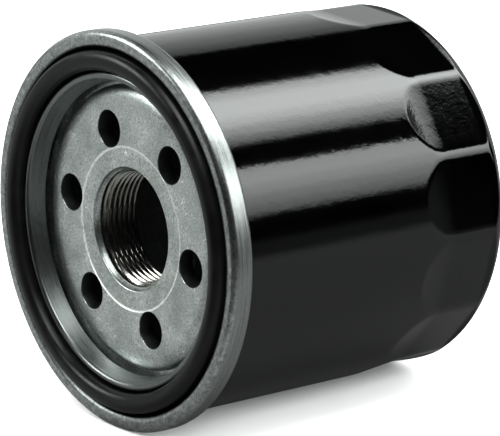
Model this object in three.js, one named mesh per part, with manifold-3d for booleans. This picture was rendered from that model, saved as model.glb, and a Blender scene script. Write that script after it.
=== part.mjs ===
// Spin-on oil filter, lying on its side. Millimetres, +Z up.
// The filter's axis runs along +Y: the threaded, gasketed face looks towards -Y.
// The closed end looks towards +Y.
// The origin is under the middle of the filter, on the surface that its rim touches.
//
// Every piece is drawn in [radius, depth] from the axis and from the front crest of the seam rim,
// and turned about the axis. Depth grows towards the closed end.

import * as THREE from "three";
import { mergeVertices } from "three/addons/utils/BufferGeometryUtils.js";
import Module from "manifold-3d";

const wasm = await Module();
wasm.setup();

// ---- driving dimensions ----

const overallLength = 65;
const rimRadius = 34;
const canRadius = 32.1;
const gap = 0.3; // clearance left between pieces that rest on each other
const ringGap = 0.2; // clearance between rings that fit inside each other

// canister
const canWall = 0.4;
const cornerRadius = 4.6;
const cornerDepth = 56.6; // where the straight wall ends
const domeRise = 3.1; // the closed end's apex, if it weren't flattened, above its corner
const padRadius = 11; // flat pad in the middle of the closed end
const flatCount = 14;
const flatRampStart = 42.5;
const flatRampEnd = 46.5;
const ridgeAngle = 16.7; // first ridge between flats, in degrees from +Z towards +X

// seam plate: curl, gasket channel and inner lip
const plateSheet = 0.6;
const curlDepth = 3.97;
const chuckWallRadius = 31.2;
const lipRadius = 26.4;
const lipFront = 0.73;
const lipFootRadius = 25.25;
const lipFootDepth = 4;
const channelFloor = 4.8;

// sealing compound, between the can's wall and its folded flange
const sealantInner = 32.3;
const sealantThickness = 0.25;
const sealantFront = 1.95;
const sealantBack = 3;

// gasket
const gasketProud = 1.1;
const gasketInner = 27.3;
const gasketOuter = 30.7;
const gasketRounding = 0.95;

// base plate
const baseThickness = 2.8;
const baseFace = 3.9;
const baseRadius = 31.2;
const shoulderOuter = 24.4;
const shoulderWidth = 3.6; // the shoulder is a quarter of an ellipse, wider than it is deep
const shoulderRise = 1.8;
const hubRecessRadius = 14;
const hubRecess = 0.15;
const inletCount = 6;
const inletRadius = 3.15;
const inletPitchRadius = 17.25;
const inletAngle = 40.8; // first inlet hole, in degrees from +Z towards +X
const mouthRadius = 10.65;
const counterboreRadius = 9.95;
const counterboreEnd = 5.6;
const threadMinorRadius = 9.3;
const neckRadius = 12.4;
const neckEnd = 12.4;

// anti-drain-back valve
const valveSleeveInner = neckRadius + gap;
const valveLipRadius = 26.4;
const valveThickness = 1.2;

// filter element
const capSheet = 0.4;
const capRadius = 28.8;
const lowerCapDepth = 14;
const upperCapDepth = 52.2;
const capRim = 3;
const collarRadius = 13.1; // inside of each cap's collar
const collarLength = 2.2;
const tubeOuter = 14.3;
const tubeWall = 0.5;
const adhesiveThickness = 1;
const pleatCount = 44;
const pleatInner = 15;
const pleatOuter = 27.8;
const paper = 0.5;

// bypass valve, in the upper end cap
const seatSheet = 0.6;
const seatHole = 6;
const seatWallRadius = 12.5;
const seatFlangeRadius = 16.5;
const seatPlateDepth = 50.1; // front of the seat's flat plate
const sealThickness = 0.8;
const discThickness = 0.8;
const discRadius = 10.2;
const cageRadius = 11.6;
const cageSheet = 0.5;
const cageFront = 38.6;
const springRadius = 7;
const springWire = 0.9;
const springTurns = 4.5;

// element spring
const leafSheet = 0.5;
const leafRingInner = 5;
const leafRingOuter = 11;
const leafFootRadius = 23.5;
const leafArmWidth = 9;

// facets round each ring
const canFacets = 3 * flatCount;
const ringFacets = 44;
const innerFacets = 30;
const valveFacets = 24;

// ---- depths that follow from the dimensions above ----

const rimFrontY = gasketProud - overallLength / 2;
const closedEnd = overallLength - gasketProud;
const adhesiveLowerStart = lowerCapDepth + capSheet + gap;
const mediaStart = adhesiveLowerStart + adhesiveThickness + gap;
const adhesiveUpperEnd = upperCapDepth - capSheet - gap;
const mediaEnd = adhesiveUpperEnd - adhesiveThickness - gap;
const sealEnd = seatPlateDepth - gap;
const discEnd = sealEnd - sealThickness - gap;

// ---- helpers ----

const radians = THREE.MathUtils.degToRad;

// Points of a circular arc in [radius, depth]. Its angles are in degrees from the outward direction.
function arc(centreRadius, centreDepth, bend, fromDegrees, toDegrees, steps = 3) {
  return Array.from({ length: steps + 1 }, (_, i) => {
    const angle = radians(fromDegrees + ((toDegrees - fromDegrees) * i) / steps);
    return [centreRadius + bend * Math.cos(angle), centreDepth + bend * Math.sin(angle)];
  });
}

function rectangle(innerRadius, outerRadius, front, back) {
  return [
    [innerRadius, front],
    [outerRadius, front],
    [outerRadius, back],
    [innerRadius, back],
  ];
}

// The outline of bent sheet metal: the centreline moved half the thickness to each side.
function sheetOutline(centreline, thickness) {
  const points = centreline.map(([r, d]) => new THREE.Vector2(r, d));
  const side = (sign) =>
    points.map((point, i) => {
      const before = points[Math.max(i - 1, 0)];
      const after = points[Math.min(i + 1, points.length - 1)];
      const into = i > 0 ? point.clone().sub(before).normalize() : after.clone().sub(point).normalize();
      const out = i < points.length - 1 ? after.clone().sub(point).normalize() : into.clone();
      const mitre = into.clone().add(out).normalize();
      const reach = (sign * thickness) / 2 / mitre.dot(into);
      return [point.x - mitre.y * reach, point.y + mitre.x * reach];
    });
  return [...side(-1), ...side(1).reverse()];
}

// Turns an outline about the filter's axis.
// An outline that starts on the axis also ends on it. Any other one closes on itself.
function revolve(outline, facets, startDegrees = 0) {
  const points = outline.map(([r, d]) => new THREE.Vector2(r, d));
  const anticlockwise = THREE.ShapeUtils.area(points) > 0;
  if (!anticlockwise) points.reverse();
  if (points[0].x > 0) points.push(points[0].clone());
  return new THREE.LatheGeometry(points, facets, radians(startDegrees));
}

// A closed geometry as a solid for boolean work.
function toSolid(geometry) {
  const bare = geometry.clone();
  bare.deleteAttribute("normal");
  bare.deleteAttribute("uv");
  const merged = mergeVertices(bare, 1e-4);
  return new wasm.Manifold(
    new wasm.Mesh({
      numProp: 3,
      vertProperties: Float32Array.from(merged.attributes.position.array),
      triVerts: Uint32Array.from(merged.index.array),
    }),
  );
}

function toGeometry(solid) {
  const mesh = solid.getMesh();
  const positions = Float32Array.from(mesh.vertProperties);
  const corners = Uint32Array.from(mesh.triVerts);
  const geometry = new THREE.BufferGeometry();
  geometry.setAttribute("position", new THREE.BufferAttribute(positions, 3));
  geometry.setIndex(new THREE.BufferAttribute(corners, 1));
  geometry.computeVertexNormals();
  return geometry;
}

function cut(geometry, cutters) {
  const whole = toSolid(geometry);
  return toGeometry(cutters.reduce((solid, cutter) => solid.subtract(toSolid(cutter)), whole));
}

// A prism along the filter's axis, from closed anticlockwise outlines in the X-Z plane.
function prismAlongAxis(outline, holes, front, back) {
  const toPoint = ([x, z]) => new THREE.Vector2(x, z);
  const shape = new THREE.Shape(outline.map(toPoint));
  shape.holes = holes.map((hole) => new THREE.Path(hole.map(toPoint)));
  const geometry = new THREE.ExtrudeGeometry(shape, { depth: back - front, bevelEnabled: false });
  geometry.rotateX(Math.PI / 2);
  geometry.translate(0, back, 0);
  return geometry;
}

const filter = new THREE.Group();
filter.position.set(0, rimFrontY, rimRadius);

function addPart(name, geometry, { color, roughness, metalness }) {
  const part = new THREE.Mesh(geometry, new THREE.MeshStandardMaterial({ color, roughness, metalness }));
  part.name = name;
  filter.add(part);
}

// ---- finishes ----

const blackPaint = { color: 0x0b0b0c, roughness: 0.18, metalness: 0.1 };
const galvanisedSteel = { color: 0xa9adab, roughness: 0.42, metalness: 0.9 };
const zincPlate = { color: 0x6d7574, roughness: 0.5, metalness: 0.85 };
const plainSteel = { color: 0x8f9294, roughness: 0.4, metalness: 0.9 };
const springSteel = { color: 0x5d6063, roughness: 0.35, metalness: 0.9 };
const nitrile = { color: 0x121213, roughness: 0.6, metalness: 0 };
const sealingCompound = { color: 0x8a8f96, roughness: 0.7, metalness: 0 };
const adhesive = { color: 0xb7a27a, roughness: 0.6, metalness: 0 };
const filterPaper = { color: 0xd8c08a, roughness: 0.9, metalness: 0 };

// ---- canister ----

// Presses the wrench flats into the can.
// Past the ramp, each flat is a plane that reaches the full radius at its ridges.
function pressFlats(geometry, outline) {
  const position = geometry.attributes.position;
  const halfFlat = Math.PI / flatCount;
  const isInside = outline.map(([r, d], i) => i < outline.length / 2);
  for (let i = 0; i < position.count; i += 1) {
    const x = position.getX(i);
    const z = position.getZ(i);
    const depth = position.getY(i);
    const radius = Math.hypot(x, z);
    const ramp = THREE.MathUtils.clamp((depth - flatRampStart) / (flatRampEnd - flatRampStart), 0, 1);
    const angle = Math.atan2(x, z) - radians(ridgeAngle) - halfFlat;
    const offMiddle = angle - 2 * halfFlat * Math.round(angle / (2 * halfFlat));
    const wall = isInside[i % outline.length] ? canWall : 0;
    const middle = canRadius * THREE.MathUtils.lerp(1, Math.cos(halfFlat), ramp) - wall;
    const pressed = Math.min(1, middle / Math.cos(offMiddle) / radius);
    if (ramp > 0 && radius > 0) position.setXYZ(i, x * pressed, depth, z * pressed);
  }
  geometry.computeVertexNormals();
  return geometry;
}

function canister() {
  const half = canWall / 2;
  const wallRadius = canRadius - half;
  const flangeRadius = 32.95;
  const flangeBend = (flangeRadius - wallRadius) / 2;
  const flangeFront = 1.6;
  const flangeEnd = 3.05;
  const cornerCentre = canRadius - cornerRadius;
  // the dome leaves the corner's arc at this angle, tangent to it
  const domeAngle = THREE.MathUtils.radToDeg(2 * Math.atan(domeRise / cornerCentre));
  const domeRadius = cornerCentre / Math.sin(radians(domeAngle)) + cornerRadius - half;
  const domeCentre = cornerDepth - (domeRadius + half - cornerRadius) * Math.cos(radians(domeAngle));
  const padAngle = THREE.MathUtils.radToDeg(Math.acos(padRadius / domeRadius));
  const centreline = [
    [0, closedEnd - half],
    [padRadius - 1, closedEnd - half],
    ...arc(0, domeCentre, domeRadius, padAngle, 90 - domeAngle, 1),
    ...arc(cornerCentre, cornerDepth, cornerRadius - half, 90 - domeAngle, 0, 4).slice(1),
    [wallRadius, flatRampEnd],
    [wallRadius, flatRampStart + (flatRampEnd - flatRampStart) / 4],
    [wallRadius, flatRampStart],
    ...arc(wallRadius + flangeBend, flangeFront, flangeBend, 180, 360, 3),
    [flangeRadius, flangeEnd],
  ];
  const outline = sheetOutline(centreline, canWall);
  return pressFlats(revolve(outline, canFacets, ridgeAngle), outline);
}

addPart("canister", canister(), blackPaint);

// ---- seam plate ----

function seamPlate() {
  const half = plateSheet / 2;
  const lipBend = 0.4;
  const channelBend = 0.6;
  const crestBend = 1;
  const curlBend = 0.9;
  const hookBend = 0.63;
  const lipBendDepth = lipFront + half + lipBend;
  const floorDepth = channelFloor + half;
  const curlRadius = rimRadius - half;
  const hookEnd = canRadius + gap;
  return sheetOutline(
    [
      [lipFootRadius, lipFootDepth],
      ...arc(lipRadius, lipBendDepth, lipBend, 180, 360, 2),
      ...arc(lipRadius + lipBend + channelBend, floorDepth - channelBend, channelBend, 180, 90, 1),
      ...arc(chuckWallRadius - channelBend, floorDepth - channelBend, channelBend, 90, 0, 1),
      ...arc(chuckWallRadius + crestBend, half + crestBend, crestBend, 180, 270, 2),
      ...arc(curlRadius - curlBend, half + curlBend, curlBend, 270, 360, 2),
      ...arc(curlRadius - hookBend, curlDepth - half - hookBend, hookBend, 0, 90, 1),
      [hookEnd, curlDepth - half],
    ],
    plateSheet,
  );
}

addPart("seam_plate", revolve(seamPlate(), ringFacets), galvanisedSteel);

const sealantOuter = sealantInner + sealantThickness;
const sealant = rectangle(sealantInner, sealantOuter, sealantFront, sealantBack);
addPart("seam_sealant", revolve(sealant, ringFacets), sealingCompound);

// ---- gasket ----

function gasketOutline() {
  const back = channelFloor - gap;
  const chamfer = 0.7;
  return [
    ...arc(gasketInner + gasketRounding, gasketRounding - gasketProud, gasketRounding, 180, 270, 2),
    ...arc(gasketOuter - gasketRounding, gasketRounding - gasketProud, gasketRounding, 270, 360, 2),
    [gasketOuter, back - chamfer],
    [gasketOuter - chamfer, back],
    [gasketInner + chamfer, back],
    [gasketInner, back - chamfer],
  ];
}

addPart("gasket", revolve(gasketOutline(), ringFacets), nitrile);

// ---- base plate ----

function basePlate() {
  const flangeFront = baseFace + shoulderRise;
  const flangeBack = flangeFront + baseThickness;
  const shoulder = arc(0, 0, 1, 270, 360).map(([across, along]) => [
    shoulderOuter + shoulderWidth * (across - 1),
    flangeFront + shoulderRise * along,
  ]);
  const pocketDepth = baseFace + baseThickness;
  const pocketRadius = shoulderOuter - baseThickness;
  const mouthDepth = baseFace + hubRecess;
  const mouthChamfer = mouthRadius - counterboreRadius;
  const exitChamfer = 0.6;
  const turned = revolve(
    [
      [threadMinorRadius, counterboreEnd],
      [counterboreRadius, counterboreEnd],
      [counterboreRadius, mouthDepth + mouthChamfer],
      [mouthRadius, mouthDepth],
      [hubRecessRadius, mouthDepth],
      [hubRecessRadius, baseFace],
      ...shoulder,
      [baseRadius, flangeFront],
      [baseRadius, flangeBack],
      [pocketRadius + flangeBack - pocketDepth, flangeBack],
      [pocketRadius, pocketDepth],
      [neckRadius, pocketDepth],
      [neckRadius, neckEnd],
      [threadMinorRadius + exitChamfer, neckEnd],
      [threadMinorRadius, neckEnd - exitChamfer],
    ],
    ringFacets,
  );
  const inlets = Array.from({ length: inletCount }, (_, i) => {
    const angle = radians(inletAngle + (360 * i) / inletCount);
    const hole = new THREE.CylinderGeometry(inletRadius, inletRadius, 2 * baseThickness, 20);
    const x = inletPitchRadius * Math.sin(angle);
    const z = inletPitchRadius * Math.cos(angle);
    hole.translate(x, baseFace + baseThickness / 2, z);
    return hole;
  });
  return cut(turned, inlets);
}

addPart("base_plate", basePlate(), zincPlate);

// ---- anti-drain-back valve ----

function antiDrainValve() {
  const sealFace = baseFace + shoulderRise + baseThickness + gap;
  const webFront = sealFace + 0.7;
  const webBack = webFront + valveThickness;
  const sleeveOuter = valveSleeveInner + 1.6;
  return [
    [valveSleeveInner, sealFace],
    [sleeveOuter, sealFace],
    [sleeveOuter + 1.4, webFront],
    [valveLipRadius - 2.8, webFront],
    [valveLipRadius - 2, sealFace],
    [valveLipRadius - 0.6, sealFace],
    [valveLipRadius, webFront],
    [valveLipRadius - 0.6, webBack],
    [sleeveOuter + 1.4, webBack],
    [sleeveOuter, webBack + 1.4],
    [valveSleeveInner, webBack + 1.4],
  ];
}

addPart("anti_drain_valve", revolve(antiDrainValve(), innerFacets), nitrile);

// ---- filter element ----

// A stamped cap with a rim outside and a collar round its hole, both folded towards the paper.
function endCap(plateDepth, towardsPaper) {
  const half = capSheet / 2;
  const outside = capRadius - half;
  const inside = collarRadius + half;
  const middle = plateDepth + towardsPaper * half;
  return sheetOutline(
    [
      [inside, middle + towardsPaper * collarLength],
      [inside, middle],
      [outside, middle],
      [outside, middle + towardsPaper * capRim],
    ],
    capSheet,
  );
}

addPart("lower_end_cap", revolve(endCap(lowerCapDepth, 1), innerFacets), plainSteel);
addPart("upper_end_cap", revolve(endCap(upperCapDepth, -1), innerFacets), plainSteel);

function adhesiveRing(front) {
  const innerRadius = tubeOuter + ringGap;
  const outerRadius = capRadius - capSheet - ringGap;
  return rectangle(innerRadius, outerRadius, front, front + adhesiveThickness);
}

const adhesiveUpperStart = adhesiveUpperEnd - adhesiveThickness;
addPart("lower_adhesive", revolve(adhesiveRing(adhesiveLowerStart), innerFacets), adhesive);
addPart("upper_adhesive", revolve(adhesiveRing(adhesiveUpperStart), innerFacets), adhesive);

// One of the two faces of the pleated paper.
// Its flanks are radial and evenly spaced, joined by a fold at each end in turn.
function pleatOutline(isOuterFace) {
  const side = isOuterFace ? 1 : -1;
  const foldTop = isOuterFace ? pleatOuter : pleatOuter - paper;
  const foldBottom = isOuterFace ? pleatInner + paper : pleatInner;
  const quarter = Math.PI / 2 / pleatCount;
  const point = (radius, angle) => [-radius * Math.sin(angle), radius * Math.cos(angle)];
  return Array.from({ length: pleatCount }, (_, i) => {
    const middle = 4 * quarter * i;
    const top = quarter + (side * paper) / 2 / foldTop;
    const bottom = quarter + (side * paper) / 2 / foldBottom;
    return [
      point(foldBottom, middle - bottom),
      point(foldTop, middle - top),
      point(foldTop, middle + top),
      point(foldBottom, middle + bottom),
    ];
  }).flat();
}

addPart(
  "filter_media",
  prismAlongAxis(pleatOutline(true), [pleatOutline(false)], mediaStart, mediaEnd),
  filterPaper,
);

// A folded strip that grips the outer fold of the pleat that points up.
function seamClip() {
  const sheet = 0.35;
  const legLength = 3;
  const foldHalfWidth = pleatOuter * Math.sin(Math.PI / 2 / pleatCount) + paper / 2;
  const innerHalf = foldHalfWidth + ringGap;
  const outerHalf = innerHalf + sheet;
  const top = pleatOuter + gap + sheet;
  const endClearance = 2;
  const outline = [
    [-outerHalf, top],
    [-outerHalf, top - legLength],
    [-innerHalf, top - legLength],
    [-innerHalf, top - sheet],
    [innerHalf, top - sheet],
    [innerHalf, top - legLength],
    [outerHalf, top - legLength],
    [outerHalf, top],
  ];
  const front = lowerCapDepth + capRim + endClearance;
  const back = upperCapDepth - capRim - endClearance;
  return prismAlongAxis(outline, [], front, back);
}

addPart("media_seam_clip", seamClip(), plainSteel);

// A steel tube with staggered rows of round holes.
function centreTube() {
  const tube = revolve(
    rectangle(tubeOuter - tubeWall, tubeOuter, adhesiveLowerStart, adhesiveUpperEnd),
    innerFacets,
  );
  const rows = 4;
  const holesPerRow = 4;
  const holeRadius = 1.6;
  const holeSides = 8;
  const rowPitch = (mediaEnd - mediaStart) / (rows + 1);
  const drills = [];
  for (let row = 0; row < rows; row += 1) {
    for (let k = 0; k < holesPerRow; k += 1) {
      // each drill passes through both walls, so half a turn carries all of a row's holes
      const drill = new THREE.CylinderGeometry(holeRadius, holeRadius, 2 * tubeOuter + 2, holeSides);
      drill.rotateX(Math.PI / 2);
      drill.rotateY((Math.PI / holesPerRow) * (k + (row % 2) / 2));
      drill.translate(0, mediaStart + rowPitch * (row + 1), 0);
      drills.push(drill);
    }
  }
  return cut(tube, drills);
}

addPart("centre_tube", centreTube(), plainSteel);

// ---- bypass valve ----

function bypassSeat() {
  const half = seatSheet / 2;
  const flangeDepth = upperCapDepth + gap + half;
  return sheetOutline(
    [
      [seatFlangeRadius, flangeDepth],
      [seatWallRadius, flangeDepth],
      [seatWallRadius, seatPlateDepth + half],
      [seatHole, seatPlateDepth + half],
    ],
    seatSheet,
  );
}

addPart("bypass_valve_seat", revolve(bypassSeat(), valveFacets), plainSteel);

addPart(
  "bypass_valve_seal",
  revolve(rectangle(seatHole - 1, discRadius - 0.6, sealEnd - sealThickness, sealEnd), valveFacets),
  nitrile,
);

// A dished disc, whose raised rim stiffens it and whose hollow locates the spring.
function bypassDisc() {
  const dish = 1;
  const dishRadius = springRadius - springWire;
  return [
    [0, discEnd - dish],
    [dishRadius - dish, discEnd - dish],
    [dishRadius, discEnd],
    [discRadius, discEnd],
    [discRadius, discEnd - discThickness],
    [dishRadius, discEnd - discThickness],
    [dishRadius - dish, discEnd - discThickness - dish],
    [0, discEnd - discThickness - dish],
  ];
}

addPart("bypass_valve_disc", revolve(bypassDisc(), valveFacets), plainSteel);

// A stamped cup with four windows in its wall and a hole in its floor.
function bypassCage() {
  const half = cageSheet / 2;
  const rimDepth = seatPlateDepth - gap - half;
  const cup = revolve(
    sheetOutline(
      [
        [seatHole - 1, cageFront + half],
        [cageRadius - half, cageFront + half],
        [cageRadius - half, rimDepth],
        [cageRadius + 1, rimDepth],
      ],
      cageSheet,
    ),
    valveFacets,
  );
  const windowMargin = 1.8;
  const windowLength = rimDepth - cageFront - 2 * windowMargin;
  const windows = [0, 1].map((i) => {
    const slot = new THREE.BoxGeometry(3 * cageRadius, windowLength, 9);
    slot.rotateY((i * Math.PI) / 2 + Math.PI / 4);
    slot.translate(0, cageFront + windowMargin + windowLength / 2, 0);
    return slot;
  });
  return cut(cup, windows);
}

addPart("bypass_valve_cage", bypassCage(), plainSteel);

// The coil spring between the cage's floor and the disc.
function bypassSpring() {
  const front = cageFront + cageSheet + gap + springWire / 2;
  const back = discEnd - discThickness - gap - springWire / 2;
  class Helix extends THREE.Curve {
    getPoint(s, target = new THREE.Vector3()) {
      const turn = 2 * Math.PI * springTurns * s;
      const depth = THREE.MathUtils.lerp(front, back, s);
      return target.set(springRadius * Math.sin(turn), depth, springRadius * Math.cos(turn));
    }
  }
  const wireSides = 6;
  const stepsPerTurn = 14;
  const section = new THREE.Shape(
    Array.from({ length: wireSides }, (_, i) => {
      const angle = (2 * Math.PI * i) / wireSides;
      return new THREE.Vector2((springWire / 2) * Math.cos(angle), (springWire / 2) * Math.sin(angle));
    }),
  );
  return new THREE.ExtrudeGeometry(section, {
    steps: Math.round(springTurns * stepsPerTurn),
    extrudePath: new Helix(),
    bevelEnabled: false,
  });
}

addPart("bypass_valve_spring", bypassSpring(), springSteel);

// ---- element spring ----

// A ring against the closed end, with four arms that slope down to the upper end cap.
function elementSpring() {
  const half = leafSheet / 2;
  const ringDepth = closedEnd - canWall - gap - half;
  const footDepth = upperCapDepth + gap + half;
  const footLength = 2.5;
  const bell = revolve(
    sheetOutline(
      [
        [leafRingInner, ringDepth],
        [leafRingOuter, ringDepth],
        [leafFootRadius - footLength, footDepth],
        [leafFootRadius, footDepth],
      ],
      leafSheet,
    ),
    valveFacets,
  );
  const height = 2 * (ringDepth - footDepth);
  const middle = (ringDepth + footDepth) / 2;
  const arms = [0, 1].map((i) => {
    const arm = new THREE.BoxGeometry(3 * leafFootRadius, height, leafArmWidth);
    arm.rotateY((i * Math.PI) / 2);
    return arm;
  });
  const ring = new THREE.CylinderGeometry(leafRingOuter + 1, leafRingOuter + 1, height, valveFacets);
  const keep = [...arms, ring].map((shape) => toSolid(shape.translate(0, middle, 0)));
  const star = keep.reduce((sum, shape) => sum.add(shape));
  return toGeometry(toSolid(bell).intersect(star));
}

addPart("element_spring", elementSpring(), springSteel);

const oilFilter = new THREE.Group();
oilFilter.add(filter);
export default oilFilter;
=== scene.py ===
"""The looks of a spin-on oil filter that lies on its side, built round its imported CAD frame.

Profiles are drawn in (radius, depth) millimetres: radius from the filter's axis, depth from the
front crest of the seam rim towards the closed end. Angles round the axis run from +Z towards +X.
"""

import math

import bmesh
import bpy
import numpy as np
from mathutils import Matrix, Vector


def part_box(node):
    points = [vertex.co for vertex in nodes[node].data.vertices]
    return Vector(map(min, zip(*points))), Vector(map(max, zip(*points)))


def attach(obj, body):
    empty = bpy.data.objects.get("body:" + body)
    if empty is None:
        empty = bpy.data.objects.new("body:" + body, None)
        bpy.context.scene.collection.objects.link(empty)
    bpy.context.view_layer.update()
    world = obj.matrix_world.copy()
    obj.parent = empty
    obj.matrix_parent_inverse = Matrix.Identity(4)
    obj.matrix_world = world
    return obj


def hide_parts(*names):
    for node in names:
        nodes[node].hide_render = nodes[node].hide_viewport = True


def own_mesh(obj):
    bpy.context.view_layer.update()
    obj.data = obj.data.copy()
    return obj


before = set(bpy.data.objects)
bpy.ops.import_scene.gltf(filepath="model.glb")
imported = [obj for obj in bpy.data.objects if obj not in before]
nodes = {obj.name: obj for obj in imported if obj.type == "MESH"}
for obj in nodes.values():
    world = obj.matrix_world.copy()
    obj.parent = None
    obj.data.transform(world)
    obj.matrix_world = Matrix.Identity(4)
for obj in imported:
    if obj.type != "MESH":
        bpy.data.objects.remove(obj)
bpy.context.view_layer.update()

MM = 0.001
GAP = 0.3  # clearance to a neighbouring piece
SHARP_ANGLE = 32  # edges that turn by more degrees than this stay sharp
rim_low, rim_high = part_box("seam_plate")
AXIS_HEIGHT = (rim_low.z + rim_high.z) / 2 / MM
RIM_FRONT = rim_low.y / MM

# canister
CAN_RADIUS = 32.1
CAN_WALL = 0.4
CORNER_RADIUS = 4.6
CORNER_DEPTH = 56.6
DOME_RISE = 3.1
PAD_RADIUS = 11
CLOSED_END = 63.9
FLATS = 14
RAMP_START = 42.3
RAMP_END = 48.5
RAMP_EASE = 1.5
RIDGE_ANGLE = math.radians(16.7)
RIDGE_BLEND = 0.56
RAMP_BLEND = 0.12
RUNOUT_START = 57.2
RUNOUT_END = 59.4

# seam rim
SHEET = 0.6
RIM_RADIUS = 34
CURL_DEPTH = 3.97
CHUCK_WALL = 31.2
LIP_RADIUS = 26.4
LIP_FRONT = 0.73
LIP_FOOT = (25.25, 4)
CHANNEL_FLOOR = 4.8

# gasket
GASKET_INNER = 27.3
GASKET_OUTER = 30.7
GASKET_PROUD = 1.1
GASKET_CROWN = 1.6
GASKET_POWER = 2.2

# base plate
PLATE_FACE = 3.9
PLATE_THICKNESS = 2.8
PLATE_RADIUS = 31.2
SHOULDER_OUTER = 24.4
SHOULDER_WIDTH = 3.6
SHOULDER_RISE = 1.8
HUB_RADIUS = 14
HUB_RECESS = 0.15
INLETS = 6
INLET_RADIUS = 3.15
INLET_PITCH_RADIUS = 17.25
INLET_ANGLE = math.radians(40.8)
NECK_RADIUS = 12.4
NECK_END = 12.4

# thread
THREAD_START = 5.6
THREAD_PITCH = 1.05
THREAD_MINOR = 9.4
THREAD_MAJOR = 9.97
THREAD_ROOT_FLAT = 0.1
THREAD_FLANK = math.radians(30)
THREAD_ROUNDING = 0.06
THREAD_ROWS = 14  # rows of vertices in one pitch

# anti-drain-back valve
VALVE_SLEEVE = 1.6
VALVE_WEB = 1.2
VALVE_LIP = 26.4

# springs
COIL_RADIUS = 7
COIL_WIRE = 0.9
COIL_TURNS = 5.5
LEAF = 0.5
LEAF_INNER = 5
LEAF_RING = 11
LEAF_FOOT = 23.5
LEAF_ARM_WIDTH = 9
LEAF_FOOT_LENGTH = 2.5


# ---- profiles ----


def arc(radius, depth, bend, start, end, steps):
    """Points of a circular arc, with its angles in degrees from the outward direction."""
    angles = np.radians(np.linspace(start, end, steps + 1))
    return np.column_stack([radius + bend * np.cos(angles), depth + bend * np.sin(angles)])


def line(start, end, steps):
    """Evenly spaced points from start to end, both included."""
    return np.linspace(start, end, steps + 1)


def profile(*parts):
    """Joins points and runs of points into one run."""
    return np.vstack([np.atleast_2d(np.asarray(part, float)) for part in parts])


def sheet_outline(centreline, thickness):
    """The outline of bent sheet metal: its centreline moved half the thickness to each side."""
    steps = np.diff(centreline, axis=0)
    steps /= np.linalg.norm(steps, axis=1)[:, None]
    into = np.vstack([steps[:1], steps])
    out = np.vstack([steps, steps[-1:]])
    mitre = into + out
    mitre /= np.linalg.norm(mitre, axis=1)[:, None]
    reach = thickness / 2 / np.sum(mitre * into, axis=1)
    normal = np.column_stack([-mitre[:, 1], mitre[:, 0]]) * reach[:, None]
    return np.vstack([centreline - normal, (centreline + normal)[::-1]])


# ---- meshes ----


def to_object(name, vertices, faces, sharp_angle=SHARP_ANGLE):
    """Makes an object from vertices in millimetres, with outward normals and smooth shading."""
    mesh = bpy.data.meshes.new(name)
    mesh.from_pydata((np.asarray(vertices) * MM).tolist(), [], faces)
    work = bmesh.new()
    work.from_mesh(mesh)
    bmesh.ops.recalc_face_normals(work, faces=work.faces)
    work.to_mesh(mesh)
    work.free()
    piece = bpy.data.objects.new(name, mesh)
    bpy.context.scene.collection.objects.link(piece)
    shade_smooth(piece, sharp_angle)
    return piece


def shade_smooth(piece, sharp_angle):
    """Smooth shading, broken at edges that turn by more than sharp_angle degrees."""
    mesh = piece.data
    mesh.polygons.foreach_set("use_smooth", [True] * len(mesh.polygons))
    mesh.set_sharp_from_angle(angle=math.radians(sharp_angle))
    mesh.update()


def revolve(name, outline, segments, shape=None, centre=(0, 0), sharp_angle=SHARP_ANGLE):
    """Turns an outline about the axis, or about a line beside it through centre (x, z).

    An outline that starts on the axis also ends on it. Any other one closes on itself.
    shape(radius, depth, angle) gives each point's new radius and depth.
    """
    on_axis = outline[0, 0] == 0
    ring = outline[1:-1] if on_axis else outline
    count = len(ring)
    angle = np.linspace(0, 2 * math.pi, segments, endpoint=False)[:, None]
    radius = np.broadcast_to(ring[:, 0], (segments, count))
    depth = np.broadcast_to(ring[:, 1], (segments, count))
    if shape:
        radius, depth = shape(radius, depth, angle)
    x = centre[0] + radius * np.sin(angle)
    y = depth + RIM_FRONT
    z = centre[1] + radius * np.cos(angle) + AXIS_HEIGHT
    vertices = np.stack([x, y, z], axis=-1).reshape(-1, 3)
    here = np.arange(segments)[:, None] * count + np.arange(count)
    ahead = np.roll(here, -1, axis=0)
    last = count - 1 if on_axis else count
    index = np.arange(last)
    beside = (index + 1) % count
    quads = np.stack([here[:, index], here[:, beside], ahead[:, beside], ahead[:, index]], axis=-1)
    faces = quads.reshape(-1, 4).tolist()
    if on_axis:
        for end, row in ((outline[0], 0), (outline[-1], count - 1)):
            pole = len(vertices)
            centre_point = [centre[0], end[1] + RIM_FRONT, centre[1] + AXIS_HEIGHT]
            vertices = np.vstack([vertices, centre_point])
            faces += [[pole, int(here[s, row]), int(ahead[s, row])] for s in range(segments)]
    return to_object(name, vertices, faces, sharp_angle)


def subtract(piece, cutter):
    """Cuts the cutter out of the piece, and removes the cutter."""
    modifier = piece.modifiers.new("cut", "BOOLEAN")
    modifier.operation = "DIFFERENCE"
    modifier.solver = "EXACT"
    modifier.object = cutter
    evaluated = piece.evaluated_get(bpy.context.evaluated_depsgraph_get())
    result = bpy.data.meshes.new_from_object(evaluated)
    piece.modifiers.clear()
    piece.data = result
    bpy.data.objects.remove(cutter)
    shade_smooth(piece, SHARP_ANGLE)


def join(pieces):
    """Joins the pieces into the first one."""
    work = bmesh.new()
    for piece in pieces:
        work.from_mesh(piece.data)
    work.to_mesh(pieces[0].data)
    work.free()
    for piece in pieces[1:]:
        bpy.data.objects.remove(piece)
    return pieces[0]


def smooth_min(a, b, width):
    """The lower of a and b, rounded where they are within width of each other."""
    blend = np.clip(0.5 + 0.5 * (b - a) / np.maximum(width, 1e-6), 0, 1)
    return b + (a - b) * blend - width * blend * (1 - blend)


def smoothstep(share):
    """Eases a share from 0 to 1, level at both ends."""
    return share * share * (3 - 2 * share)


# ---- materials ----

RING_RADIUS = 32.0  # ring noise has its stated length at this radius


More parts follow.
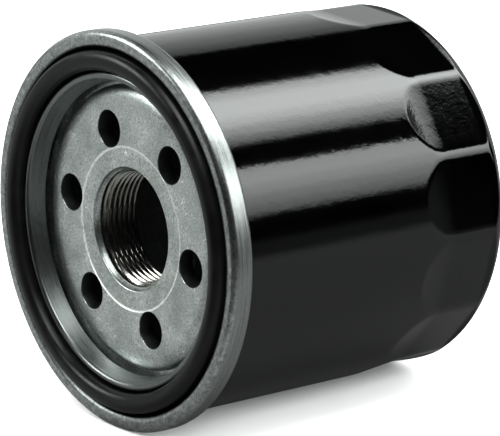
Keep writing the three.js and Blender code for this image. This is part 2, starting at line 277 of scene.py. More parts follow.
class Finish:
    """A Principled material with procedural detail. Feature sizes and heights are in millimetres."""

    def __init__(self, name, **constants):
        self.material = bpy.data.materials.new(name)
        self.material.use_nodes = True
        self.tree = self.material.node_tree
        self.shader = self.tree.nodes["Principled BSDF"]
        for socket, value in constants.items():
            self.shader.inputs[socket.replace("_", " ")].default_value = value
        self.place = self.add("ShaderNodeTexCoord").outputs["Object"]
        self.normal = None

    def add(self, kind, **settings):
        node = self.tree.nodes.new(kind)
        for key, value in settings.items():
            setattr(node, key, value)
        return node

    def link(self, source, socket):
        self.tree.links.new(source, socket)

    def vector_math(self, operation, first, second=None):
        node = self.add("ShaderNodeVectorMath", operation=operation)
        for value, socket in ((first, node.inputs[0]), (second, node.inputs[1])):
            if isinstance(value, tuple):
                socket.default_value = value
            elif value is not None:
                self.link(value, socket)
        return node

    def maths(self, operation, *values):
        node = self.add("ShaderNodeMath", operation=operation)
        for value, socket in zip(values, node.inputs):
            if isinstance(value, (int, float)):
                socket.default_value = value
            else:
                self.link(value, socket)
        return node.outputs[0]

    def from_axis(self):
        """Position from the rim's centre, and the same without its part along the axis."""
        origin = (0.0, RIM_FRONT * MM, AXIS_HEIGHT * MM)
        offset = self.vector_math("SUBTRACT", self.place, origin).outputs[0]
        return offset, self.vector_math("MULTIPLY", offset, (1.0, 0.0, 1.0)).outputs[0]

    def radius(self):
        """Distance from the axis in millimetres."""
        _, across = self.from_axis()
        return self.maths("DIVIDE", self.vector_math("LENGTH", across).outputs["Value"], MM)

    def depth(self):
        """Depth from the rim's crest in millimetres."""
        offset, _ = self.from_axis()
        parts = self.add("ShaderNodeSeparateXYZ")
        self.link(offset, parts.inputs[0])
        return self.maths("DIVIDE", parts.outputs["Y"], MM)

    def noise(self, feature, detail=3.0, roughness=0.55, distortion=0.0):
        node = self.add("ShaderNodeTexNoise")
        self.link(self.place, node.inputs["Vector"])
        node.inputs["Scale"].default_value = 1 / (feature * MM)
        node.inputs["Detail"].default_value = detail
        node.inputs["Roughness"].default_value = roughness
        node.inputs["Distortion"].default_value = distortion
        return node.outputs["Fac"]

    def ring_noise(self, length, width, detail=3.0, roughness=0.6):
        """Noise drawn out along rings round the axis: length along a ring, width across it."""
        offset, across = self.from_axis()
        direction = self.vector_math("NORMALIZE", across).outputs[0]
        along = self.vector_math("MULTIPLY", direction, (RING_RADIUS / length,) * 3).outputs[0]
        deep = self.vector_math("MULTIPLY", offset, (0.0, 1 / (width * MM), 0.0)).outputs[0]
        place = self.vector_math("ADD", along, deep).outputs[0]
        node = self.add("ShaderNodeTexNoise", noise_dimensions="4D")
        self.link(place, node.inputs["Vector"])
        self.link(self.maths("DIVIDE", self.radius(), width), node.inputs["W"])
        node.inputs["Scale"].default_value = 1.0
        node.inputs["Detail"].default_value = detail
        node.inputs["Roughness"].default_value = roughness
        return node.outputs["Fac"]

    def remap(self, value, low, high, to_low=0.0, to_high=1.0, smooth=False):
        node = self.add("ShaderNodeMapRange")
        node.interpolation_type = "SMOOTHSTEP" if smooth else "LINEAR"
        self.link(value, node.inputs["Value"])
        for key, number in (
            ("From Min", low),
            ("From Max", high),
            ("To Min", to_low),
            ("To Max", to_high),
        ):
            node.inputs[key].default_value = number
        return node.outputs["Result"]

    def colours(self, value, *stops):
        """Colour from a value, by (position, (r, g, b)) stops."""
        node = self.add("ShaderNodeValToRGB")
        self.link(value, node.inputs["Fac"])
        elements = node.color_ramp.elements
        while len(elements) < len(stops):
            elements.new(0.5)
        for element, (position, colour) in zip(elements, stops):
            element.position = position
            element.color = (*colour, 1.0)
        return node.outputs["Color"]

    def mix(self, factor, first, second, blend="MIX"):
        node = self.add("ShaderNodeMix", data_type="RGBA", blend_type=blend)
        for value, socket in ((factor, node.inputs[0]), (first, node.inputs[6]), (second, node.inputs[7])):
            if isinstance(value, (int, float)):
                socket.default_value = value
            elif isinstance(value, tuple):
                socket.default_value = (*value, 1.0)
            else:
                self.link(value, socket)
        return node.outputs[2]

    def bump(self, height, millimetres):
        node = self.add("ShaderNodeBump")
        node.inputs["Distance"].default_value = millimetres * MM
        self.link(height, node.inputs["Height"])
        if self.normal:
            self.link(self.normal, node.inputs["Normal"])
        self.normal = node.outputs["Normal"]
        self.link(self.normal, self.shader.inputs["Normal"])

    def set(self, socket, source):
        self.link(source, self.shader.inputs[socket])


def black_paint():
    """Gloss black paint with orange peel."""
    finish = Finish("black_paint", IOR=1.6)
    drift = finish.noise(9, detail=2)
    finish.set("Base Color", finish.colours(drift, (0.3, (0.0001,) * 3), (0.75, (0.0003, 0.0003, 0.0004))))
    finish.set("Roughness", finish.remap(finish.noise(2.5), 0.3, 0.7, 0.05, 0.09))
    finish.bump(finish.noise(1.7, detail=1), 0.012)
    finish.bump(finish.noise(0.42, detail=2, roughness=0.5), 0.008)
    return finish.material


def galvanised_steel():
    """Rolled galvanised sheet: streaks round the rim, a mottled crest, and painted shade that darkens the
    lip and the gasket's channel towards black.
    """
    finish = Finish("galvanised_steel", Metallic=1.0)
    streaks = finish.ring_noise(9, 0.22, detail=4, roughness=0.65)
    mottle = finish.noise(0.75, detail=4, roughness=0.65, distortion=0.8)
    streak_colour = finish.colours(streaks, (0.34, (0.28, 0.3, 0.295)), (0.66, (0.46, 0.48, 0.47)))
    mottle_colour = finish.colours(
        mottle, (0.34, (0.24, 0.255, 0.25)), (0.5, (0.38, 0.4, 0.395)), (0.66, (0.6, 0.62, 0.61))
    )
    near_front = finish.remap(finish.depth(), 0.25, 0.95, 1.0, 0.12, smooth=True)
    outside = finish.mix(near_front, streak_colour, mottle_colour)
    radius = finish.radius()
    # painted shade: the lip is darkened about halfway and the channel up to the chuck wall almost fully,
    # towards near black
    past_lip = finish.remap(radius, LIP_RADIUS + SHEET, LIP_RADIUS + 2 * SHEET, 0.45, 0.95, smooth=True)
    before_crest = finish.remap(radius, CHUCK_WALL, CHUCK_WALL + SHEET, 1.0, 0.0, smooth=True)
    painted_channel_shade = finish.maths("MULTIPLY", past_lip, before_crest)
    # the near-black colour of the painted shade in the lip and channel
    finish.set("Base Color", finish.mix(painted_channel_shade, outside, (0.02, 0.023, 0.022)))
    finish.set("Roughness", finish.remap(streaks, 0.35, 0.7, 0.26, 0.4))
    finish.bump(streaks, 0.012)
    finish.bump(mottle, 0.02)
    return finish.material


def zinc_plate():
    """Dull zinc plating with chalky rubs, a painted highlight ring along the hub's step, patchy with rub
    noise, and fine scratches.
    """
    finish = Finish("zinc_plate", Metallic=1.0)
    grain = finish.noise(0.34, detail=3, roughness=0.7)
    cloud = finish.noise(5.5, detail=4, roughness=0.6)
    scratches = finish.ring_noise(3.2, 0.16, detail=2)
    base = finish.colours(cloud, (0.34, (0.58, 0.63, 0.61)), (0.68, (0.82, 0.86, 0.84)))
    grey = finish.colours(grain, (0.34, (0.5,) * 3), (0.52, (0.88,) * 3), (0.68, (1.0,) * 3))
    rubs = finish.noise(1.1, detail=6, roughness=0.75, distortion=2.2)
    flecks = finish.maths("MULTIPLY", finish.remap(rubs, 0.54, 0.64), finish.remap(cloud, 0.36, 0.58))
    # painted highlight: a pale, patchy ring at the hub's step, where the step shows a bright edge
    off_ring = finish.maths("ABSOLUTE", finish.maths("SUBTRACT", finish.radius(), HUB_RADIUS))
    near_ring = finish.remap(off_ring, 0.1, 0.28, 1.0, 0.0)
    painted_ring_highlight = finish.maths("MULTIPLY", near_ring, finish.remap(rubs, 0.3, 0.5))
    # chalky flecks of wear, together with the painted highlight ring
    chalk_and_painted_highlight = finish.maths("MAXIMUM", flecks, painted_ring_highlight)
    colour = finish.mix(1.0, base, grey, "MULTIPLY")
    finish.set("Base Color", finish.mix(chalk_and_painted_highlight, colour, (0.95, 0.98, 0.96)))
    finish.set("Metallic", finish.remap(chalk_and_painted_highlight, 0.0, 1.0, 1.0, 0.82))
    finish.set("Roughness", finish.remap(scratches, 0.3, 0.7, 0.28, 0.42))
    finish.bump(grain, 0.02)
    finish.bump(scratches, 0.006)
    return finish.material


def cut_steel():
    """Bright machined steel of the tapped bore."""
    finish = Finish("cut_steel", Metallic=1.0)
    lines = finish.ring_noise(7, 0.09, detail=3)
    finish.set("Base Color", finish.colours(lines, (0.3, (0.26, 0.255, 0.24)), (0.7, (0.5, 0.49, 0.46))))
    finish.set("Roughness", finish.remap(lines, 0.3, 0.7, 0.16, 0.26))
    finish.bump(lines, 0.004)
    return finish.material


def rubber(name, tone, roughness, grain_height):
    """Moulded nitrile rubber."""
    finish = Finish(name, IOR=1.35)
    grain = finish.noise(0.16, detail=3)
    bloom = finish.noise(3.5, detail=3)
    low, high = tone
    finish.set("Base Color", finish.colours(bloom, (0.3, (low,) * 3), (0.7, (high,) * 3)))
    finish.set("Roughness", finish.remap(bloom, 0.3, 0.7, *roughness))
    finish.bump(grain, grain_height)
    return finish.material


def stamped_steel(name, dark, light, roughness):
    """Cold-rolled sheet or spring wire, with fine drawing lines."""
    finish = Finish(name, Metallic=1.0)
    lines = finish.ring_noise(12, 0.15, detail=3)
    stain = finish.noise(4, detail=3)
    metal = finish.colours(lines, (0.3, dark), (0.7, light))
    finish.set("Base Color", finish.mix(finish.remap(stain, 0.45, 0.8, 0, 0.5), metal, dark))
    finish.set("Roughness", finish.remap(lines, 0.3, 0.7, *roughness))
    finish.bump(lines, 0.004)
    return finish.material


def filter_paper():
    """Resin-treated paper: fibres and a dimpled press."""
    finish = Finish("filter_paper", Roughness=0.85)
    fibres = finish.noise(0.35, detail=5, roughness=0.7, distortion=1.5)
    cloud = finish.noise(3, detail=3)
    pale = finish.colours(fibres, (0.3, (0.5, 0.34, 0.13)), (0.7, (0.78, 0.62, 0.34)))
    finish.set("Base Color", finish.mix(finish.remap(cloud, 0.4, 0.7, 0, 0.4), pale, (0.55, 0.38, 0.16)))
    finish.bump(fibres, 0.05)
    return finish.material


def soft_paste(name, dark, light, roughness):
    """Cured adhesive or sealing compound."""
    finish = Finish(name)
    flow = finish.noise(1.6, detail=3, distortion=0.6)
    finish.set("Base Color", finish.colours(flow, (0.3, dark), (0.7, light)))
    finish.set("Roughness", finish.remap(flow, 0.3, 0.7, *roughness))
    finish.bump(flow, 0.06)
    return finish.material


BLACK_PAINT = black_paint()
GALVANISED = galvanised_steel()
ZINC = zinc_plate()
CUT_STEEL = cut_steel()
GASKET_RUBBER = rubber("gasket_rubber", (0.0008, 0.002), (0.3, 0.4), 0.006)
VALVE_RUBBER = rubber("valve_rubber", (0.003, 0.007), (0.45, 0.6), 0.01)
# painted shade: a dark steel for the inlets' walls, which lie in shadow inside the holes
HOLE_SHADE_STEEL = stamped_steel("hole_shade_steel", (0.12, 0.125, 0.124), (0.26, 0.27, 0.268), (0.3, 0.45))
PLAIN_STEEL = stamped_steel("plain_steel", (0.36, 0.37, 0.38), (0.6, 0.61, 0.62), (0.25, 0.42))
SPRING_STEEL = stamped_steel("spring_steel", (0.16, 0.165, 0.18), (0.36, 0.37, 0.39), (0.22, 0.36))
FILTER_PAPER = filter_paper()
ADHESIVE = soft_paste("adhesive", (0.42, 0.3, 0.13), (0.62, 0.48, 0.26), (0.35, 0.55))
SEALANT = soft_paste("sealing_compound", (0.28, 0.3, 0.33), (0.42, 0.44, 0.47), (0.5, 0.7))


def dress(piece, material, body, slot, *replaced):
    """Gives a new piece its material and body, in place of the replaced CAD nodes. slot is not used."""
    piece.data.materials.append(material)
    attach(piece, body)
    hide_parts(*replaced)


# ---- canister ----


def can_outline():
    half = CAN_WALL / 2
    wall = CAN_RADIUS - half
    flange_radius = 32.95
    flange_front = 1.6
    flange_end = 3.05
    bend = (flange_radius - wall) / 2
    corner = CAN_RADIUS - CORNER_RADIUS
    # the dome leaves the corner's arc at this angle, tangent to it
    dome_angle = 2 * math.atan(DOME_RISE / corner)
    dome_reach = corner / math.sin(dome_angle)
    dome_radius = dome_reach + CORNER_RADIUS - half
    dome_centre = CORNER_DEPTH - dome_reach * math.cos(dome_angle)
    pad_angle = math.degrees(math.acos(PAD_RADIUS / dome_radius))
    turn = 90 - math.degrees(dome_angle)
    end = CLOSED_END - half
    centreline = profile(
        [0, end],
        line((1, end), (PAD_RADIUS - 1, end), 3),
        arc(0, dome_centre, dome_radius, pad_angle, turn, 16),
        arc(corner, CORNER_DEPTH, CORNER_RADIUS - half, turn, 0, 30)[1:],
        line((wall, CORNER_DEPTH), (wall, RAMP_END + 0.4), 16)[1:],
        line((wall, RAMP_END + 0.4), (wall, RAMP_START - 0.2), 26)[1:],
        line((wall, RAMP_START - 0.2), (wall, CURL_DEPTH), 8)[1:],
        arc(wall + bend, flange_front, bend, 180, 360, 8),
        [flange_radius, flange_end],
    )
    return sheet_outline(centreline, CAN_WALL)


def canister():
    outline = can_outline()
    inner_points = len(outline) // 2
    skin = np.where(np.arange(len(outline)) < inner_points, CAN_WALL, 0)[1:-1]
    half_flat = math.pi / FLATS

    def press_flats(radius, depth, angle):
        """Each flat is a plane that eases inwards along its ramp and runs out at the corner."""
        off_ridge = np.abs((angle - RIDGE_ANGLE + half_flat) % (2 * half_flat) - half_flat)
        ramp = 1 - np.clip((RAMP_END - depth) / (RAMP_END - RAMP_START), 0, 1) ** RAMP_EASE
        runout = np.clip((depth - RUNOUT_START) / (RUNOUT_END - RUNOUT_START), 0, 1)
        pressing = ramp * (1 - smoothstep(runout))
        apothem = CAN_RADIUS * (1 - pressing * (1 - math.cos(half_flat)))
        near = apothem / np.cos(half_flat - off_ridge)
        far = apothem / np.cos(half_flat + off_ridge)
        limit = smooth_min(near, far, RIDGE_BLEND)
        pressed = smooth_min(radius + skin, limit, RAMP_BLEND * np.minimum(1, 4 * pressing)) - skin
        return np.where(ramp > 0, pressed, radius), depth

    return revolve("can_shell", outline, FLATS * 40, press_flats, sharp_angle=50)


dress(canister(), BLACK_PAINT, "housing", "black_paint", "canister")


# ---- seam rim ----


def rim_outline():
    half = SHEET / 2
    lip_bend = 0.4
    channel_bend = 0.6
    crest_bend = 1
    curl_bend = 0.9
    hook_bend = 0.63
    lip_depth = LIP_FRONT + half + lip_bend
    floor_depth = CHANNEL_FLOOR + half
    curl_radius = RIM_RADIUS - half
    hook_end = CAN_RADIUS + GAP
    centreline = profile(
        line(LIP_FOOT, (LIP_RADIUS - lip_bend, lip_depth), 6)[:-1],
        arc(LIP_RADIUS, lip_depth, lip_bend, 180, 360, 12),
        arc(LIP_RADIUS + lip_bend + channel_bend, floor_depth - channel_bend, channel_bend, 180, 90, 6),
        arc(CHUCK_WALL - channel_bend, floor_depth - channel_bend, channel_bend, 90, 0, 6),
        arc(CHUCK_WALL + crest_bend, half + crest_bend, crest_bend, 180, 270, 12),
        arc(curl_radius - curl_bend, half + curl_bend, curl_bend, 270, 360, 12),
        arc(curl_radius - hook_bend, CURL_DEPTH - half - hook_bend, hook_bend, 0, 90, 8),
        [hook_end, CURL_DEPTH - half],
    )
    return sheet_outline(centreline, SHEET)


dress(revolve("seam_rim", rim_outline(), 360), GALVANISED, "housing", "galvanised_steel", "seam_plate")


# ---- gasket ----


def gasket_outline():
    """A rubber ring with a full round crown in front and small chamfers behind."""
    middle = (GASKET_INNER + GASKET_OUTER) / 2
    half_width = (GASKET_OUTER - GASKET_INNER) / 2
    turn = np.linspace(math.pi, 0, 41)
    across = np.sign(np.cos(turn)) * np.abs(np.cos(turn)) ** (2 / GASKET_POWER)
    along = np.abs(np.sin(turn)) ** (2 / GASKET_POWER)
    crown = np.column_stack(
        [middle + half_width * across, GASKET_CROWN - GASKET_PROUD - GASKET_CROWN * along]
    )
    back = CHANNEL_FLOOR - GAP
    chamfer = 0.7
    return profile(
        crown,
        [GASKET_OUTER, back - chamfer],
        [GASKET_OUTER - chamfer, back],
        [GASKET_INNER + chamfer, back],
        [GASKET_INNER, back - chamfer],
    )


gasket = revolve("gasket_ring", gasket_outline(), 360, sharp_angle=50)
dress(gasket, GASKET_RUBBER, "housing", "gasket_rubber", "gasket")


# ---- base plate ----


def plate_outline():
    flange_front = PLATE_FACE + SHOULDER_RISE
    flange_back = flange_front + PLATE_THICKNESS
    pocket_depth = PLATE_FACE + PLATE_THICKNESS
    pocket_radius = SHOULDER_OUTER - PLATE_THICKNESS
    hub_face = PLATE_FACE + HUB_RECESS
    thread_lead = THREAD_START + THREAD_MAJOR - THREAD_MINOR
    exit_chamfer = 0.5
    thread_end = NECK_END - exit_chamfer
    rows = round((thread_end - THREAD_START) / (THREAD_PITCH / THREAD_ROWS))
    bore = line((THREAD_MAJOR, THREAD_START), (THREAD_MINOR, thread_end), rows)[::-1]
    bore[:, 0] = np.maximum(THREAD_MINOR, THREAD_MAJOR - (bore[:, 1] - THREAD_START))
    quarter = np.radians(np.linspace(270, 360, 15))
    shoulder = np.column_stack(
        [
            SHOULDER_OUTER + SHOULDER_WIDTH * (np.cos(quarter) - 1),
            flange_front + SHOULDER_RISE * np.sin(quarter),
        ]
    )
    return profile(
        [NECK_RADIUS, NECK_END],
        [THREAD_MINOR + exit_chamfer, NECK_END],
        bore,
        [THREAD_MAJOR + 0.02, THREAD_START - 0.1],
        [THREAD_MAJOR + 0.05, hub_face + 0.95],
        [THREAD_MAJOR + 0.5, hub_face + 0.45],
        [THREAD_MAJOR + 0.55, hub_face + 0.2],
        arc(THREAD_MAJOR + 0.8, hub_face + 0.25, 0.25, 190, 270, 5),
        line((THREAD_MAJOR + 1.1, hub_face), (HUB_RADIUS - 0.1, hub_face), 5),
        arc(HUB_RADIUS + 0.12, PLATE_FACE + 0.12, 0.12, 180, 270, 3),
        line((HUB_RADIUS + 0.4, PLATE_FACE), (SHOULDER_OUTER - SHOULDER_WIDTH - 0.2, PLATE_FACE), 8),
        shoulder,
        [PLATE_RADIUS, flange_front],
        [PLATE_RADIUS, flange_back],
        [pocket_radius + flange_back - pocket_depth, flange_back],
        [pocket_radius, pocket_depth],
        [NECK_RADIUS, pocket_depth],
    )


def cut_thread(radius, depth, angle):
    """A right-handed thread: V grooves pressed into the bore's wall."""
    turns = depth / THREAD_PITCH - angle / (2 * math.pi)
    off_groove = np.abs(turns - np.round(turns)) * THREAD_PITCH
    slope = 1 / math.tan(THREAD_FLANK)
    groove = THREAD_MAJOR - slope * np.maximum(0, off_groove - THREAD_ROOT_FLAT / 2)
    deepened = -smooth_min(-radius, -groove, THREAD_ROUNDING)
    in_bore = (radius < THREAD_MAJOR) & (depth > THREAD_START) & (depth < NECK_END - 0.01)
    return np.where(in_bore, np.maximum(radius, deepened), radius), depth


def inlet_centres():
    """Centres (x, z) of the inlets, from the axis."""
    angles = [INLET_ANGLE + 2 * math.pi * k / INLETS for k in range(INLETS)]
    return [(INLET_PITCH_RADIUS * math.sin(angle), INLET_PITCH_RADIUS * math.cos(angle)) for angle in angles]


def inlet_cutters():
    """Six drills whose front ends flare, to take off the holes' sharp edges."""
    flare = 0.12
    outline = profile(
        [0, PLATE_FACE - 1],
        [INLET_RADIUS + flare + 1, PLATE_FACE - 1],
        [INLET_RADIUS + flare / 2, PLATE_FACE + flare / 2],
        [INLET_RADIUS, PLATE_FACE + 2 * flare],
        [INLET_RADIUS, PLATE_FACE + PLATE_THICKNESS + 1],
        [0, PLATE_FACE + PLATE_THICKNESS + 1],
    )
    centres = inlet_centres()
    return join([revolve(f"drill_{k}", outline, 72, centre=centre) for k, centre in enumerate(centres)])


def base_plate():
    plate = revolve("threaded_plate", plate_outline(), 180, cut_thread)
    subtract(plate, inlet_cutters())
    dress(plate, ZINC, "housing", "zinc_plate", "base_plate")
    plate.data.materials.append(CUT_STEEL)
    plate.data.materials.append(HOLE_SHADE_STEEL)
    bore_radius = THREAD_MAJOR + 0.1
    inlets = [Vector(centre) for centre in inlet_centres()]
    for face in plate.data.polygons:
        x, y, z = face.center / MM
        across = Vector((x, z - AXIS_HEIGHT))
        if across.length < bore_radius:
            face.material_index = 1
        # the inlets' walls take the dark steel, as painted shade
        elif min((across - inlet).length for inlet in inlets) < INLET_RADIUS + 0.03:
            face.material_index = 2


base_plate()


# ---- anti-drain-back valve ----


def valve_outline():
    """A soft sleeve round the neck with a web and a sealing lip."""
    seal = PLATE_FACE + SHOULDER_RISE + PLATE_THICKNESS + GAP
    inner = NECK_RADIUS + GAP
    sleeve = inner + VALVE_SLEEVE
    web_front = seal + 0.7
    web_back = web_front + VALVE_WEB
    bend = 1.4
    return profile(
        [inner, seal],
        [sleeve, seal],
        [sleeve + bend / 2, web_front - 0.2],
        [sleeve + bend, web_front],
        line((sleeve + 2 * bend, web_front), (VALVE_LIP - 3.2, web_front), 4),
        [VALVE_LIP - 2.5, seal + 0.35],
        arc(VALVE_LIP - 1.3, seal + 0.7, 0.7, 240, 360, 8),
        [VALVE_LIP - 0.7, web_back],
        line((VALVE_LIP - 3, web_back), (sleeve + 2 * bend, web_back), 4),
        arc(sleeve + bend, web_back + bend, bend, 270, 180, 6),
        [inner, web_back + bend],
    )


valve = revolve("drain_valve", valve_outline(), 180, sharp_angle=45)
dress(valve, VALVE_RUBBER, "anti_drain_valve", "valve_rubber", "anti_drain_valve")


# ---- springs ----


def depth_of(y):
    """Depth in millimetres of a height y, in metres, along the frame's axis."""
    return y / MM - RIM_FRONT


def squash_to(piece):
    """Gives a spring a mesh of its own."""
    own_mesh(piece)


def coil_spring(low, high):
    """Round wire, with its last turn at each end closed."""
    steps = 40
    sides = 16
    half = COIL_WIRE / 2
    front = depth_of(low) + half
    back = depth_of(high) - half
    turn = np.linspace(0, COIL_TURNS, round(COIL_TURNS * steps) + 1)
    closed = COIL_WIRE * 1.05
    rise = closed * np.minimum(turn, 1) + closed * np.maximum(turn - COIL_TURNS + 1, 0)
    open_share = np.clip((turn - 1) / (COIL_TURNS - 2), 0, 1)
    rise += (back - front - 2 * closed) * smoothstep(open_share)
    angle = 2 * math.pi * turn[:, None]
    round_wire = np.linspace(0, 2 * math.pi, sides, endpoint=False)
    radius = COIL_RADIUS + half * np.cos(round_wire)
    depth = front + rise[:, None] + half * np.sin(round_wire)
    x = radius * np.sin(angle)
    z = radius * np.cos(angle) + AXIS_HEIGHT
    vertices = np.stack([x, depth + RIM_FRONT, z], axis=-1).reshape(-1, 3)
    here = np.arange(len(turn))[:, None] * sides + np.arange(sides)
    beside = np.roll(here, -1, axis=1)
    quads = np.stack([here[:-1], beside[:-1], beside[1:], here[1:]], axis=-1)
    caps = [here[0].tolist(), here[-1].tolist()]
    return to_object("coil_spring", vertices, quads.reshape(-1, 4).tolist() + caps, sharp_angle=50)


coil_low, coil_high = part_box("bypass_valve_spring")
coil = coil_spring(coil_low.y, coil_high.y)
dress(coil, SPRING_STEEL, "element", "spring_steel", "bypass_valve_spring")
squash_to(coil)


def leaf_spring(low, high):
    """A ring against the closed end, whose four arms curve down to the upper end cap."""
    half = LEAF / 2
    ring_depth = depth_of(high) - half
    foot_depth = depth_of(low) + half
    foot_start = LEAF_FOOT - LEAF_FOOT_LENGTH
    quarter = math.pi / 2
    outline = profile(
        line((LEAF_INNER, -half), (LEAF_FOOT, -half), 30), line((LEAF_FOOT, half), (LEAF_INNER, half), 30)
    )

    def bend_arms(radius, depth, angle):
        off_arm = np.abs((angle + quarter / 2) % quarter - quarter / 2)
        arm_side = LEAF_ARM_WIDTH / 2 / np.maximum(np.sin(off_arm), 0.01)
        outer = -smooth_min(-smooth_min(arm_side, LEAF_FOOT, 1.5), -LEAF_RING - 1, 3)
        outer = np.minimum(outer, LEAF_FOOT)
        share = (radius - LEAF_INNER) / (LEAF_FOOT - LEAF_INNER)
        bent = LEAF_INNER + share * (outer - LEAF_INNER)
        fall = smoothstep(np.clip((bent - LEAF_RING) / (foot_start - LEAF_RING), 0, 1))
        return bent, depth + ring_depth + (foot_depth - ring_depth) * fall

    return revolve("leaf_spring", outline, 360, bend_arms, sharp_angle=50)


leaf_low, leaf_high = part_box("element_spring")
leaf = leaf_spring(leaf_low.y, leaf_high.y)
dress(leaf, SPRING_STEEL, "housing", "spring_steel", "element_spring")
squash_to(leaf)


# ---- inner pieces kept from the frame ----

KEPT = {
    "seam_sealant": SEALANT,
    "lower_end_cap": PLAIN_STEEL,
    "upper_end_cap": PLAIN_STEEL,
    "lower_adhesive": ADHESIVE,
    "upper_adhesive": ADHESIVE,
    "filter_media": FILTER_PAPER,
    "media_seam_clip": PLAIN_STEEL,
    "centre_tube": PLAIN_STEEL,
    "bypass_valve_seat": PLAIN_STEEL,
    "bypass_valve_seal": VALVE_RUBBER,
    "bypass_valve_disc": PLAIN_STEEL,
    "bypass_valve_cage": PLAIN_STEEL,
}
for node_name, material in KEPT.items():
    node = nodes[node_name]
    node.data.materials.clear()
    node.data.materials.append(material)


# ---- stage ----

FLOOR_TILT = math.radians(2.1)  # the filter lies on its rim and on its closed end's corner
FLOOR_CONTACT = 2.5  # how far behind the rim's front it meets the floor
POOL_REACH = 0.16  # how far to the filter's right the floor shows in its reflections, in metres


def floor_finish():
    """Pale paper to the camera. All other rays meet a darker floor, for the studio's dark surroundings,
    painted with light and shade for the filter's reflections.

    The darker floor's tone changes with the distance ahead of the filter and from left to right: an even
    grey to the left, a painted pool of light to the right, brightest about 2 cm ahead of the rim, and black
    beyond the pool.
    """
    finish = Finish("floor", Roughness=0.9)
    grain = finish.noise(30, detail=4)
    pale = finish.colours(grain, (0.3, (0.74,) * 3), (0.7, (0.78,) * 3))
    parts = finish.add("ShaderNodeSeparateXYZ")
    finish.link(finish.place, parts.inputs[0])
    x, y = parts.outputs["X"], parts.outputs["Y"]
    # painted light and shade for reflections: the pool to the right and the black beyond it
    ahead = finish.maths("MAXIMUM", finish.maths("SUBTRACT", RIM_FRONT * MM, y), 0.01)
    to_right = finish.remap(finish.maths("DIVIDE", x, ahead), -0.9, -0.35, smooth=True)
    away = finish.remap(x, 0.8 * POOL_REACH, 1.2 * POOL_REACH, smooth=True)
    right = finish.colours(ahead, (0.01, (0.06,) * 3), (0.02, (0.12,) * 3), (0.07, (0.008,) * 3))
    near = finish.mix(to_right, (0.125, 0.13, 0.128), right)
    painted_reflection_floor = finish.mix(away, near, (0.0, 0.0, 0.0))
    seen_directly = finish.add("ShaderNodeLightPath").outputs["Is Camera Ray"]
    finish.set("Base Color", finish.mix(seen_directly, painted_reflection_floor, pale))
    return finish.material


def floor():
    """A wide pale floor, tilted to touch both the rim and the can."""
    half = 6000
    contact = RIM_FRONT + FLOOR_CONTACT
    steps = 24
    across = np.linspace(-half, half, steps + 1)
    x, y = np.meshgrid(across, across, indexing="ij")
    z = np.tan(FLOOR_TILT) * (y - contact)
    vertices = np.stack([x, y, z], axis=-1).reshape(-1, 3)
    here = np.arange((steps + 1) ** 2).reshape(steps + 1, steps + 1)
    quads = np.stack([here[:-1, :-1], here[1:, :-1], here[1:, 1:], here[:-1, 1:]], axis=-1)
    piece = to_object("floor", vertices, quads.reshape(-1, 4).tolist())
    piece.data.materials.append(floor_finish())


floor()

COOL = (0.96, 1.0, 0.985)
EVEN_GLOW = ((0, 0.35), (0.2, 0.9), (0.5, 1), (0.8, 0.9), (1, 0.35))


def softbox(name, position, target, width, length, radiance, glow=EVEN_GLOW):
    """A soft area light, in metres. glow is its brightness across its width, by (place, share)."""
    data = bpy.data.lights.new(name, "AREA")
    data.shape = "RECTANGLE"
    data.size = width
    data.size_y = length
    data.energy = radiance * math.pi * width * length
    data.color = COOL
    data.use_nodes = True
    tree = data.node_tree
    place = tree.nodes.new("ShaderNodeNewGeometry")
    across = tree.nodes.new("ShaderNodeSeparateXYZ")
    ramp = tree.nodes.new("ShaderNodeValToRGB")
    ramp.color_ramp.interpolation = "EASE"
    elements = ramp.color_ramp.elements
    while len(elements) < len(glow):
        elements.new(0.5)
    for element, (at, share) in zip(elements, glow):
        element.position = at
        element.color = (share, share, share, 1)
    tree.links.new(place.outputs["Parametric"], across.inputs[0])
    tree.links.new(across.outputs["X"], ramp.inputs["Fac"])
    tree.links.new(ramp.outputs["Color"], tree.nodes["Emission"].inputs["Strength"])
    light = bpy.data.objects.new(name, data)
    bpy.context.scene.collection.objects.link(light)
    back = (Vector(position) - Vector(target)).normalized()
    side = back.cross(Vector((0, 1, 0))).normalized()
    up = back.cross(side)
    rotation = Matrix((side, up, back)).transposed()
    light.matrix_world = Matrix.Translation(position) @ rotation.to_4x4()
    light.visible_camera = False
    return light


def strip(name, low, high, distance, front, back, radiance, glow):
    """A softbox along the filter. low and high are its edges' angles round the axis, from +X up."""
    middle = math.radians((low + high) / 2)
    width = 2 * distance * math.tan(math.radians((high - low) / 2))
    y = (front + back) / 2
    height = AXIS_HEIGHT * MM
    position = (distance * math.cos(middle), y, height + distance * math.sin(middle))
    return softbox(name, position, (0, y, height), width, back - front, radiance, glow)


OVERHEAD_GLOW = (
    (0, 0), (0.08, 0.25), (0.25, 0.55), (0.38, 0.85), (0.52, 1), (0.68, 0.95), (0.85, 0.7), (1, 0)
)
SIDE_GLOW = ((0, 0.12), (0.12, 0.36), (0.33, 0.56), (0.54, 0.82), (0.74, 1), (0.95, 0.95), (1, 0.6))
BACKDROP_GLOW = ((0, 0.34), (0.1, 0.43), (0.24, 0.62), (0.55, 0.82), (1, 0.9))

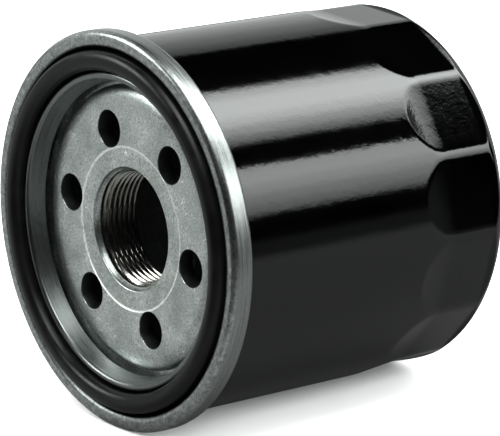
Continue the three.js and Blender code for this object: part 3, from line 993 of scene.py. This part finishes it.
strip("overhead", 53, 94, 0.5, -0.35, 0.75, 7.6, OVERHEAD_GLOW)
strip("side", 11, 40, 0.5, 0.0, 0.75, 4.6, SIDE_GLOW)
strip("backdrop", 129, 178, 0.55, -0.1, 0.8, 0.98, BACKDROP_GLOW)
filter_middle = (0, 0, AXIS_HEIGHT * MM)
softbox("front_left", (-0.5, -0.47, 0.42), filter_middle, 0.28, 0.28, 12)
softbox("back_card", (-0.2, 1.0, 0.3), filter_middle, 1.3, 0.6, 0.55)
softbox("front_card", (-0.56, -0.44, 0.11), filter_middle, 0.5, 0.2, 0.7)
floor_fill = softbox("floor_fill", (0.55, -0.3, 0.2), (0.03, 0, 0), 0.6, 0.3, 14)
floor_fill.visible_glossy = False

# the world lights the surfaces evenly, but doesn't show in reflections
WORLD_STRENGTH = 2.2

world = bpy.data.worlds.new("studio")
bpy.context.scene.world = world
world.use_nodes = True
world.node_tree.nodes["Background"].inputs["Color"].default_value = (1.0, 1.0, 1.0, 1.0)
world.node_tree.nodes["Background"].inputs["Strength"].default_value = WORLD_STRENGTH
world.cycles_visibility.glossy = False

# ---- camera ----

CAMERA_AZIMUTH = math.radians(52.14)
CAMERA_ELEVATION = math.radians(14.1)
CAMERA_DISTANCE = 0.53967
CAMERA_SIDE = 0.02323
CAMERA_RISE = 0.00251
CAMERA_LENS = 233.17

camera_data = bpy.data.cameras.new("camera")
camera_data.sensor_fit = "HORIZONTAL"
camera_data.sensor_width = 36
camera_data.lens = CAMERA_LENS
camera = bpy.data.objects.new("camera", camera_data)
bpy.context.scene.collection.objects.link(camera)
camera_back = Vector(
    (
        math.sin(CAMERA_AZIMUTH) * math.cos(CAMERA_ELEVATION),
        -math.cos(CAMERA_AZIMUTH) * math.cos(CAMERA_ELEVATION),
        math.sin(CAMERA_ELEVATION),
    )
)
camera_right = Vector((math.cos(CAMERA_AZIMUTH), math.sin(CAMERA_AZIMUTH), 0))
camera_up = camera_back.cross(camera_right)
rim_centre = Vector((0, RIM_FRONT, AXIS_HEIGHT)) * MM
camera_place = (
    rim_centre + CAMERA_DISTANCE * camera_back + CAMERA_SIDE * camera_right + CAMERA_RISE * camera_up
)
camera_rotation = Matrix((camera_right, camera_up, camera_back)).transposed()
camera.matrix_world = Matrix.Translation(camera_place) @ camera_rotation.to_4x4()
bpy.context.scene.camera = camera

bpy.context.scene.view_settings.view_transform = "Standard"
